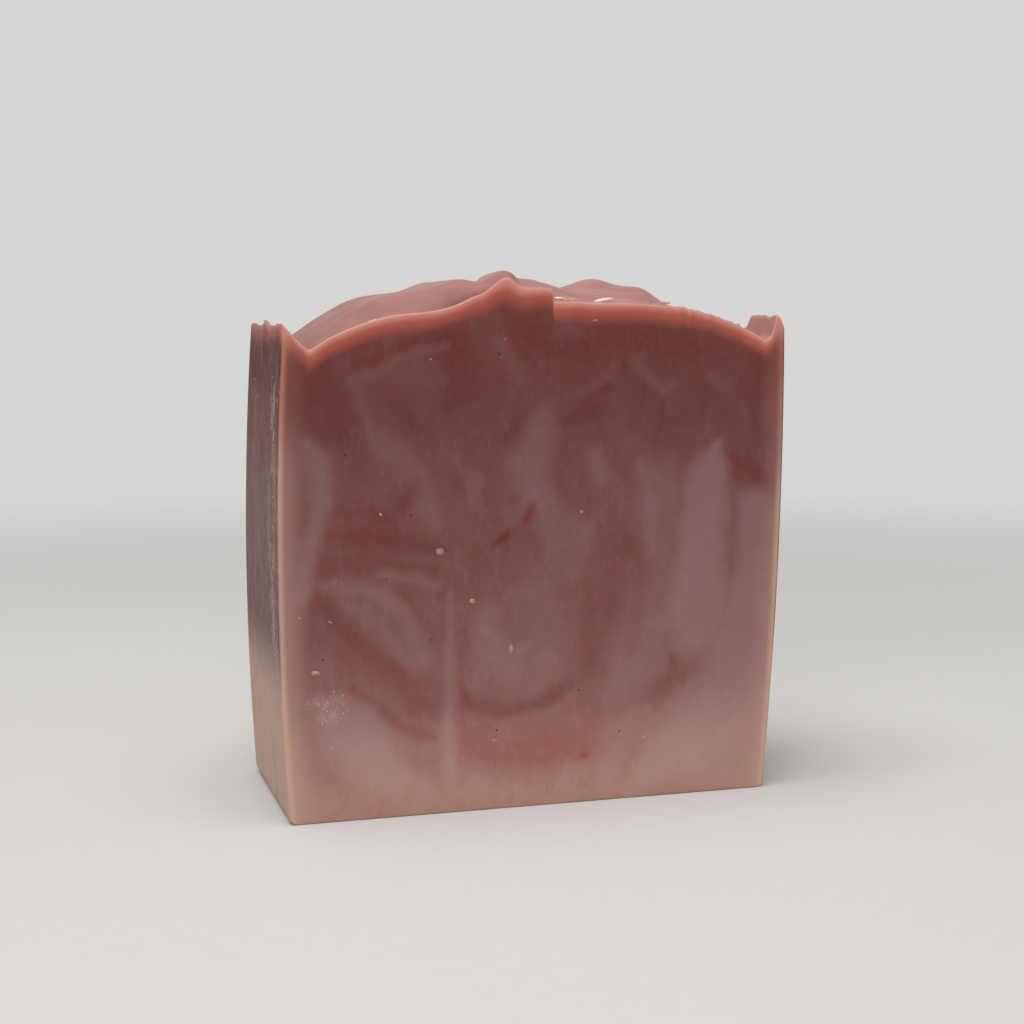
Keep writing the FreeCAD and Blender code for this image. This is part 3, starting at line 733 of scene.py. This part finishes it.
# Colours of the side bands and side lines: partly the soap's own gel ring, partly painted glow
CREAM_AND_GLOW = ((6, written(180, 147, 134)), (24, written(162, 128, 115)), (50, written(154, 119, 108)),
         (68, written(150, 96, 82)))
EDGE_CREAM_AND_GLOW = ((6, written(196, 166, 150)), (24, written(196, 168, 154)), (50, written(196, 164, 150)),
              (68, written(196, 132, 116)))
# Colour of the painted highlight on the top edge and of the painted light on the lips
PAINTED_EDGE_GLOW = written(204, 152, 140)
DUSTY_ROSE = written(152, 108, 103)
ROSE_SHADE = written(134, 88, 86)
ROSE_LIGHT = written(162, 116, 108)
# Tint of the painted shade in the creases and the hollow
CREASE_SHADE = (0.36, 0.15, 0.16)
ASH = written(206, 178, 168)
# Pale colour painted on the shavings as painted light, for the light that they catch
PAINTED_PALE_SOAP = written(236, 212, 200)
SPECK = written(62, 36, 38)


def marbled_soap():
    """Soap marbled with clay: cut faces, poured skin and moulded walls in one material."""
    sheet = FinishSheet("marbled_soap")
    here = sheet.place()
    height = sheet.add("ShaderNodeSeparateXYZ", {0: here}, output=2)
    fray = sheet.math("SUBTRACT", sheet.noise(here, 2.2, 5.0, 0.6), 0.5)
    cloud = sheet.noise(sheet.place(scale=(1.0, 1.0, 0.6), turn=(0.0, 0.35, 0.0)), 6.0, 4.0, 0.55, 0.6)

    def broken(name, gain=1.0, fraying=0.9):
        """A colour field that is frayed by noise where it is neither empty nor full."""
        field = sheet.field(name)
        loose = sheet.math("MINIMUM", field, 0.6)
        weighed = sheet.math("MULTIPLY_ADD", sheet.math("MULTIPLY", fray, fraying), loose, field)
        return sheet.math("MULTIPLY", weighed, gain, clamp=True)

    # Cut faces: ground by height, clouded, then the clays
    cut = sheet.by_height(height, GROUND)
    cut = sheet.stain(sheet.spread(cloud, 0.4, 0.72, 0.0, 0.28), cut, BRICK_TINT)
    cut = sheet.blend(sheet.spread(cloud, 0.3, 0.46, 0.22, 0.0), cut, sheet.by_height(height, PALE))
    threads = sheet.noise(sheet.place(scale=(1.0, 1.0, 0.5), turn=(0.0, 0.3, 0.0)), 1.6, 5.0, 0.6, 1.4)
    cut = sheet.stain(sheet.spread(threads, 0.5, 0.72, 0.0, 0.4), cut, BRICK_TINT)
    cut = sheet.blend(sheet.spread(threads, 0.28, 0.46, 0.2, 0.0), cut, sheet.by_height(height, PALE))
    cut = sheet.stain(broken("plum", 0.9), cut, PLUM_TINT)
    cut = sheet.stain(broken("pink", 0.9), cut, PINK_TINT)
    cut = sheet.stain(broken("brick", 0.9), cut, BRICK_TINT)
    cut = sheet.stain(sheet.field("red"), cut, RED_TINT)
    cut = sheet.blend(broken("pale", 0.7), cut, sheet.by_height(height, PALE))
    # Painted glow under the top edge
    cut = sheet.blend(broken("painted_glow_band", 0.8, 0.5), cut, PAINTED_GLOW_SALMON)
    # Side bands and side lines: partly gel ring, partly painted glow
    cut = sheet.blend(broken("cream_and_glow", 0.9, 0.4), cut, sheet.by_height(height, CREAM_AND_GLOW))
    cut = sheet.blend(broken("side_line_and_glow", 0.75, 0.4), cut, sheet.by_height(height, EDGE_CREAM_AND_GLOW))
    # Painted highlight along the top edge
    cut = sheet.blend(broken("painted_edge_highlight", 0.85, 0.4), cut, PAINTED_EDGE_GLOW)

    # Poured skin: dusty rose, dragged in faint slanting streaks, with painted light toward the side lips
    # and painted shade in the crease, the hollow, behind the front lip and by the left gutter
    drag_place = sheet.place(scale=(0.3, 1.0, 1.0), turn=(0.0, 0.0, 0.45))
    drag = sheet.noise(drag_place, 2.6, 4.0, 0.5, 0.6)
    poured = sheet.blend(sheet.spread(drag, 0.4, 0.7), DUSTY_ROSE, ROSE_LIGHT)
    poured = sheet.blend(sheet.spread(sheet.noise(here, 9.0, 2.0), 0.45, 0.7, 0.0, 0.7), poured, ROSE_SHADE)
    # Painted light: the skin is lightened toward the side lips
    poured = sheet.blend(sheet.field("cream_and_glow"), poured, PAINTED_EDGE_GLOW)
    # Painted shade, laid on by the shade field
    poured = sheet.stain(sheet.field("shade"), poured, CREASE_SHADE)

    # Moulded walls: lilac, wine at the top, beige at the foot as painted bounce light, with soft upright
    # stains, then painted glow and a painted highlight under the top edge
    wall_cloud = sheet.noise(sheet.place(scale=(1.0, 1.0, 0.3)), 3.5, 4.0, 0.55, 0.5)
    wall = sheet.by_height(height, WALL)
    wall = sheet.blend(sheet.spread(wall_cloud, 0.48, 0.72, 0.0, 0.3), wall, sheet.by_height(height, PALE))
    wall = sheet.stain(sheet.spread(wall_cloud, 0.46, 0.3, 0.0, 0.4), wall, PLUM_TINT)
    # Painted glow under the walls' top edge
    wall = sheet.blend(broken("painted_glow_band", 0.7, 0.4), wall, PAINTED_RIM_GLOW)
    # Painted highlight along the walls' top edge
    wall = sheet.blend(broken("painted_edge_highlight", 0.6, 0.4), wall, PAINTED_EDGE_GLOW)

    colour = sheet.blend(sheet.field("mould"), cut, wall)
    colour = sheet.blend(sheet.field("skin"), colour, poured)
    dust = sheet.spread(sheet.noise(here, 0.8, 4.0, 0.6), 0.36, 0.64)
    ash_share = sheet.math("MULTIPLY", sheet.math("MULTIPLY", sheet.field("ash"), dust), 0.8)
    colour = sheet.blend(ash_share, colour, ASH)
    specks = sheet.tree.nodes.new("ShaderNodeTexVoronoi")
    specks.inputs["Scale"].default_value = 0.3
    sheet.tree.links.new(here, specks.inputs["Vector"])
    chosen = sheet.add("ShaderNodeSeparateColor", {0: specks.outputs["Color"]})
    chosen = sheet.math("LESS_THAN", chosen, 0.3)
    dots = sheet.spread(specks.outputs["Distance"], 0.04, 0.075, 0.7, 0.0)
    speck_share = sheet.math("MULTIPLY", dots, chosen)
    colour = sheet.blend(speck_share, colour, SPECK)

    # Finish: waxy, with drag lines and grain. The skin is a little glossier than the cuts
    gloss_noise = sheet.noise(here, 2.8, 3.0)
    cut_gloss = sheet.spread(gloss_noise, 0.3, 0.7, 0.46, 0.58, smooth=False)
    skin_gloss = sheet.spread(gloss_noise, 0.3, 0.7, 0.44, 0.56, smooth=False)
    gloss = sheet.add("ShaderNodeMix", {0: sheet.field("skin"), 2: cut_gloss, 3: skin_gloss})
    gloss = sheet.math("MULTIPLY_ADD", ash_share, 0.3, gloss)
    drag_lines = sheet.noise(sheet.place(scale=(1.0, 1.0, 0.03)), 0.5, 2.0)
    grain = sheet.noise(here, 0.4, 3.0, 0.6)
    relief = sheet.math("MULTIPLY_ADD", drag_lines, 0.4, grain)
    relief = sheet.math("MULTIPLY_ADD", sheet.noise(here, 1.8, 4.0, 0.6), 1.4, relief)
    bump = sheet.add("ShaderNodeBump", {"Height": relief, "Strength": 0.3, "Distance": 0.04 * MM})
    shader = sheet.add("ShaderNodeBsdfPrincipled", {
        "Base Color": colour, "Roughness": gloss, "IOR": 1.45, "Normal": bump,
        "Specular IOR Level": 0.1, "Subsurface Weight": 0.4, "Subsurface Radius": (1.0, 0.5, 0.4),
        "Subsurface Scale": 1.8 * MM, "Subsurface Anisotropy": 0.6})
    return sheet.finish(shader)


def dry_crumb():
    """Dried soap of the crumbs and flakes: pale pink, matt and a little translucent. Shavings are paled
    further as painted light, for the light that they catch.
    """
    sheet = FinishSheet("dry_crumb")
    here = sheet.place()
    tone = sheet.spread(sheet.noise(here, 0.5, 3.0), 0.35, 0.65)
    colour = sheet.blend(tone, written(180, 140, 127), written(154, 110, 100))
    # Painted highlight: shavings are blended toward a pale colour by their painted paleness
    colour = sheet.blend(sheet.math("MULTIPLY", sheet.field("painted_paleness"), 0.8), colour, PAINTED_PALE_SOAP)
    bump = sheet.add("ShaderNodeBump", {"Height": sheet.noise(here, 0.15, 3.0), "Strength": 0.4,
                                        "Distance": 0.03 * MM})
    return sheet.finish(sheet.add("ShaderNodeBsdfPrincipled", {
        "Base Color": colour, "Roughness": 0.6, "IOR": 1.45, "Normal": bump, "Specular IOR Level": 0.3,
        "Subsurface Weight": 0.3, "Subsurface Radius": (1.0, 0.6, 0.5), "Subsurface Scale": 0.6 * MM}))


def soda_ash():
    """White powder that grows on soap in air."""
    sheet = FinishSheet("soda_ash")
    tone = sheet.noise(sheet.place(), 0.8, 2.0)
    colour = sheet.blend(tone, written(176, 146, 138), written(206, 182, 174))
    return sheet.finish(sheet.add("ShaderNodeBsdfPrincipled", {
        "Base Color": colour, "Roughness": 0.8, "Specular IOR Level": 0.2}))


class PieceSheet(Sheet):
    """A Geometry Nodes tree whose sizes are named inputs."""

    def __init__(self, name, sizes):
        self.tree = bpy.data.node_groups.new(name, "GeometryNodeTree")
        sockets = self.tree.interface
        sockets.new_socket("Geometry", in_out="INPUT", socket_type="NodeSocketGeometry")
        for label, kind in sizes.items():
            sockets.new_socket(label, in_out="INPUT", socket_type=kind)
        sockets.new_socket("Geometry", in_out="OUTPUT", socket_type="NodeSocketGeometry")
        self.given = self.tree.nodes.new("NodeGroupInput").outputs

    def own(self, name, kind="FLOAT"):
        """An attribute that the mesh itself carries."""
        return self.add("GeometryNodeInputNamedAttribute", {"Name": name}, "Attribute", data_type=kind)

    def finish(self, pieces):
        """Ends the tree: real geometry, roughened by noise, with its material."""
        real = self.add("GeometryNodeRealizeInstances", {"Geometry": pieces})
        lump = self.add("ShaderNodeTexNoise", {"Scale": self.given["Lumps Per Metre"], "Detail": 2.0},
                        "Color")
        offset = self.add("ShaderNodeVectorMath", {0: lump, 1: (0.5, 0.5, 0.5)}, operation="SUBTRACT")
        offset = self.add("ShaderNodeVectorMath", {0: offset, "Scale": self.given["Lump Height"]},
                          operation="SCALE")
        real = self.add("GeometryNodeSetPosition", {"Geometry": real, "Offset": offset})
        shown = self.add("GeometryNodeSetMaterial", {"Geometry": real, "Material": self.given["Material"]})
        output = self.tree.nodes.new("NodeGroupOutput")
        self.tree.links.new(shown, output.inputs["Geometry"])
        return self.tree


def grow(name, ground, tree, sizes):
    """Runs a tree on a mesh and keeps the result as a plain mesh of its own."""
    carrier = bpy.data.objects.new(name, ground)
    bpy.context.scene.collection.objects.link(carrier)
    modifier = carrier.modifiers.new(name, "NODES")
    modifier.node_group = tree
    for socket in tree.interface.items_tree:
        if socket.in_out == "INPUT" and socket.name in sizes:
            modifier[socket.identifier] = sizes[socket.name]
    carrier.update_tag()
    graph = bpy.context.evaluated_depsgraph_get()
    plain = bpy.data.meshes.new_from_object(carrier.evaluated_get(graph))
    plain.name = name
    plain.shade_smooth()
    carrier.modifiers.clear()
    carrier.data = plain
    return carrier


# Crumbs that stuck to the front cut: place (x, height above the foot), half size along x, y and z,
# and turn about the line of sight
CRUMBS = {
    "left_crumb": ((-34.0, 22.7), (0.7, 0.2, 0.38), 0.1),
    "left_chip": ((-31.7, 30.2), (0.42, 0.16, 0.14), 0.5),
    "left_dot": ((-36.2, 31.0), (0.2, 0.14, 0.16), 0.0),
    "middle_lump": ((-15.0, 40.0), (0.6, 0.18, 0.5), 0.4),
    "middle_dot": ((-10.0, 32.3), (0.42, 0.18, 0.36), 0.2),
    "tall_crumb": ((-4.0, 24.7), (0.36, 0.2, 0.62), 0.15),
    "low_crumb": ((-6.6, 10.7), (0.46, 0.16, 0.24), 0.1),
    "crown_chip": ((9.2, 74.2), (0.42, 0.14, 0.14), -0.1),
    "right_dot": ((7.2, 45.3), (0.26, 0.16, 0.22), 0.0),
    "high_dot": ((-16.3, 68.5), (0.16, 0.1, 0.13), 0.3),
    "crest_dot": ((-5.5, 68.8), (0.12, 0.1, 0.1), 0.0),
    "crest_scratch": ((-4.9, 71.4), (0.07, 0.08, 0.32), 0.35),
    "band_dot": ((-24.0, 45.9), (0.34, 0.14, 0.2), 0.5),
    "foot_dot": ((17.6, 9.6), (0.3, 0.12, 0.2), 0.2),
}
# Shavings that lie on the poured top: place (x, depth behind the front cut), rise of the middle
# above the soap, half size along x, y and z, and turns about the line of sight and the upright
SHAVINGS = {
    "edge_sliver": ((-25.1, 0.35), 0.05, (0.75, 0.14, 0.1), (-0.3, 0.1)),
    "long_shaving": ((20.6, 0.4), 0.42, (0.95, 0.18, 0.24), (0.1, 0.2)),
    "thin_shaving": ((22.9, 0.35), 0.1, (0.34, 0.14, 0.16), (0.6, 0.0)),
    "curled_shaving": ((26.2, 0.35), 0.08, (0.34, 0.14, 0.12), (0.3, 0.0)),
    "steep_shaving": ((29.6, 0.35), 0.08, (0.24, 0.12, 0.13), (0.9, 0.3)),
    "lip_shaving": ((31.7, 0.35), 0.06, (0.26, 0.14, 0.13), (0.3, 0.0)),
    "lip_chip": ((32.9, 0.35), 0.1, (0.3, 0.14, 0.2), (1.2, 0.0)),
    "ledge_flake": ((11.6, 3.0), 0.2, (1.6, 0.5, 0.34), (-0.16, 0.15)),
    "ledge_chip": ((3.9, 1.2), 0.1, (0.8, 0.45, 0.24), (0.0, 0.3)),
    "ledge_dot": ((6.3, 1.6), 0.03, (0.24, 0.2, 0.08), (0.0, 0.0)),
}


def loose_bits():
    """Place, half size, turn and painted paleness of every crumb and shaving, in millimetres."""
    for (x, z), half, tilt in CRUMBS.values():
        yield (x, FRONT + 0.05, z), half, (0.0, tilt, 0.0), 0.0
    for (x, depth), rise, half, (tilt, spin) in SHAVINGS.values():
        top = poured_top(np.array([x]), np.array([FRONT + depth]))[0]
        # Painted light: shavings left of the break's right end are paled fully, the others less
        painted_paleness = 1.0 if x < BREAK_RIGHT else 0.4
        yield (x, FRONT + depth, top + rise), half, (0.0, tilt, spin), painted_paleness


def make_crumbs(material):
    """Crumbs and shavings, each a lumpy ball stretched to its size."""
    places, half_sizes, turns, painted_paleness = zip(*loose_bits())
    mesh = bpy.data.meshes.new("crumb_places")
    mesh.from_pydata((np.array(places) * MM).tolist(), [], [])
    for name, values in (("half_size", np.array(half_sizes) * MM), ("turn", np.array(turns))):
        mesh.attributes.new(name, "FLOAT_VECTOR", "POINT").data.foreach_set("vector", values.ravel())
    mesh.attributes.new("painted_paleness", "FLOAT", "POINT").data.foreach_set("value", painted_paleness)
    sheet = PieceSheet("crumb_tree", {
        "Lump Height": "NodeSocketFloat", "Lumps Per Metre": "NodeSocketFloat",
        "Material": "NodeSocketMaterial"})
    ball = sheet.add("GeometryNodeMeshIcoSphere", {"Radius": 1.0, "Subdivisions": 4})
    pieces = sheet.add("GeometryNodeInstanceOnPoints", {
        "Points": sheet.given["Geometry"], "Instance": ball, "Rotation": sheet.own("turn", "FLOAT_VECTOR"),
        "Scale": sheet.own("half_size", "FLOAT_VECTOR")})
    tree = sheet.finish(pieces)
    return grow("soap_crumbs", mesh, tree, {
        "Lump Height": 0.28 * MM, "Lumps Per Metre": 1 / (0.5 * MM), "Material": material})


def make_flecks(bar, material):
    """Flecks of soda ash, scattered where the bar's fleck_density says."""
    sheet = PieceSheet("fleck_tree", {
        "Flecks Per Square Metre": "NodeSocketFloat", "Smallest": "NodeSocketFloat",
        "Largest": "NodeSocketFloat", "Seed": "NodeSocketInt", "Lump Height": "NodeSocketFloat",
        "Lumps Per Metre": "NodeSocketFloat", "Material": "NodeSocketMaterial"})
    density = sheet.math("MULTIPLY", sheet.own("fleck_density"), sheet.given["Flecks Per Square Metre"])
    scatter = sheet.tree.nodes.new("GeometryNodeDistributePointsOnFaces")
    wanted = {"Mesh": sheet.given["Geometry"], "Density": density, "Seed": sheet.given["Seed"]}
    for key, value in wanted.items():
        sheet.tree.links.new(value, scatter.inputs[key])
    chance = sheet.add("FunctionNodeRandomValue", {"Seed": sheet.given["Seed"]}, 1, data_type="FLOAT")
    chance = sheet.math("POWER", chance, 3.0)
    size = sheet.add("ShaderNodeMapRange", {"Value": chance, "To Min": sheet.given["Smallest"],
                                            "To Max": sheet.given["Largest"]})
    flat_size = sheet.add("ShaderNodeVectorMath", {0: (1.0, 1.3, 0.45), "Scale": size}, operation="SCALE")
    grain = sheet.add("GeometryNodeMeshIcoSphere", {"Radius": 1.0, "Subdivisions": 1})
    pieces = sheet.add("GeometryNodeInstanceOnPoints", {
        "Points": scatter.outputs["Points"], "Instance": grain, "Rotation": scatter.outputs["Rotation"],
        "Scale": flat_size})
    tree = sheet.finish(pieces)
    return grow("ash_flecks", bar.data, tree, {
        "Flecks Per Square Metre": 9.0e6, "Smallest": 0.03 * MM, "Largest": 0.16 * MM, "Seed": 7,
        "Lump Height": 0.04 * MM, "Lumps Per Metre": 1 / (0.2 * MM), "Material": material})


# Studio
FLOOR_COLOUR = (0.61, 0.6, 0.59, 1.0)
FLOOR_SHADE = (0.59, 0.58, 0.57, 1.0)
BACKDROP_COLOUR = (0.68, 0.67, 0.66, 1.0)
ROOM_STRENGTH = 0.36
CAMERA_PLACE = (-78.66, -266.61, 74.39)
CAMERA_LOOK = (0.2851, 0.9522, -0.1098)
LENS = 61.39


def background_rays(sheet):
    """1 for rays that look at the background by themselves, in a mirror or through glass."""
    rays = sheet.tree.nodes.new("ShaderNodeLightPath").outputs
    seen = sheet.math("MAXIMUM", rays["Is Camera Ray"], rays["Is Glossy Ray"])
    return sheet.math("MAXIMUM", seen, rays["Is Transmission Ray"])


def studio_paper():
    """Pale paper: lit by the lamps near the bar, evenly pale far from it."""
    sheet = FinishSheet("studio_paper")
    far = sheet.add("ShaderNodeVectorMath", {0: sheet.place()}, "Value", operation="LENGTH")
    tone = sheet.blend(sheet.noise(sheet.place(), 3.0, 4.0), FLOOR_COLOUR, FLOOR_SHADE)
    paper = sheet.add("ShaderNodeBsdfPrincipled", {"Base Color": tone, "Roughness": 0.9,
                                                   "Specular IOR Level": 0.1})
    pale = sheet.add("ShaderNodeEmission", {"Color": BACKDROP_COLOUR})
    share = sheet.math("MULTIPLY", sheet.spread(far, 170.0, 520.0), background_rays(sheet))
    return sheet.finish(sheet.add("ShaderNodeMixShader", {0: share, 1: paper, 2: pale}))


def make_sweep(material):
    """Floor and backdrop as one sheet of paper, curved up behind the bar."""
    half_width, front, bend_start, bend, height = 2.6, -2.2, 1.1, 0.7, 2.6
    profile = [(front, 0.0), (bend_start, 0.0)]
    steps = 24
    for step in range(1, steps + 1):
        angle = math.pi / 2 * step / steps
        profile.append((bend_start + bend * math.sin(angle), bend * (1 - math.cos(angle))))
    profile.append((bend_start + bend, height))
    points = [(side * half_width, y, z) for y, z in profile for side in (-1, 1)]
    faces = [(2 * i, 2 * i + 1, 2 * i + 3, 2 * i + 2) for i in range(len(profile) - 1)]
    mesh = bpy.data.meshes.new("studio_sweep")
    mesh.from_pydata(points, [], faces)
    mesh.shade_smooth()
    mesh.materials.append(material)
    sweep = bpy.data.objects.new("studio_sweep", mesh)
    bpy.context.scene.collection.objects.link(sweep)


def add_softbox(name, place, aim, size, power):
    light = bpy.data.lights.new(name, "AREA")
    light.shape = "RECTANGLE"
    light.size, light.size_y = size
    light.energy = power
    box = bpy.data.objects.new(name, light)
    box.location = place
    box.rotation_mode = "QUATERNION"
    box.rotation_quaternion = (Vector(aim) - Vector(place)).to_track_quat("-Z", "Y")
    bpy.context.scene.collection.objects.link(box)


def light_studio():
    """Broad light from above, a broad fill from the front left, pale surroundings."""
    aim = (0.0, 0.0, 0.04)
    add_softbox("top_softbox", (-0.1, -0.1, 0.75), aim, (0.6, 0.5), 4.9)
    add_softbox("front_fill", (-0.45, -0.95, 0.22), aim, (0.8, 0.8), 6.2)
    world = bpy.data.worlds.new("studio")
    world.use_nodes = True
    sheet = Sheet()
    sheet.tree = world.node_tree
    sheet.tree.nodes.clear()
    room = sheet.add("ShaderNodeBackground", {"Color": (1.0, 0.98, 0.96, 1.0), "Strength": ROOM_STRENGTH})
    pale = sheet.add("ShaderNodeBackground", {"Color": BACKDROP_COLOUR})
    both = sheet.add("ShaderNodeMixShader", {0: background_rays(sheet), 1: room, 2: pale})
    output = sheet.tree.nodes.new("ShaderNodeOutputWorld")
    sheet.tree.links.new(both, output.inputs["Surface"])
    bpy.context.scene.world = world


def set_camera():
    camera_data = bpy.data.cameras.new("photo_camera")
    camera_data.lens = LENS
    camera = bpy.data.objects.new("photo_camera", camera_data)
    camera.location = Vector(CAMERA_PLACE) * MM
    camera.rotation_mode = "QUATERNION"
    camera.rotation_quaternion = Vector(CAMERA_LOOK).to_track_quat("-Z", "Y")
    bpy.context.scene.collection.objects.link(camera)
    bpy.context.scene.camera = camera


bpy.context.scene.view_settings.view_transform = "Standard"
set_camera()
make_sweep(studio_paper())
light_studio()

soap_body = make_bar(marbled_soap())
soap_crumbs = make_crumbs(dry_crumb())
ash_flecks = make_flecks(soap_body, soda_ash())
for piece in (soap_body, soap_crumbs, ash_flecks):
    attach(piece, "root")
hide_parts("soap_bar")
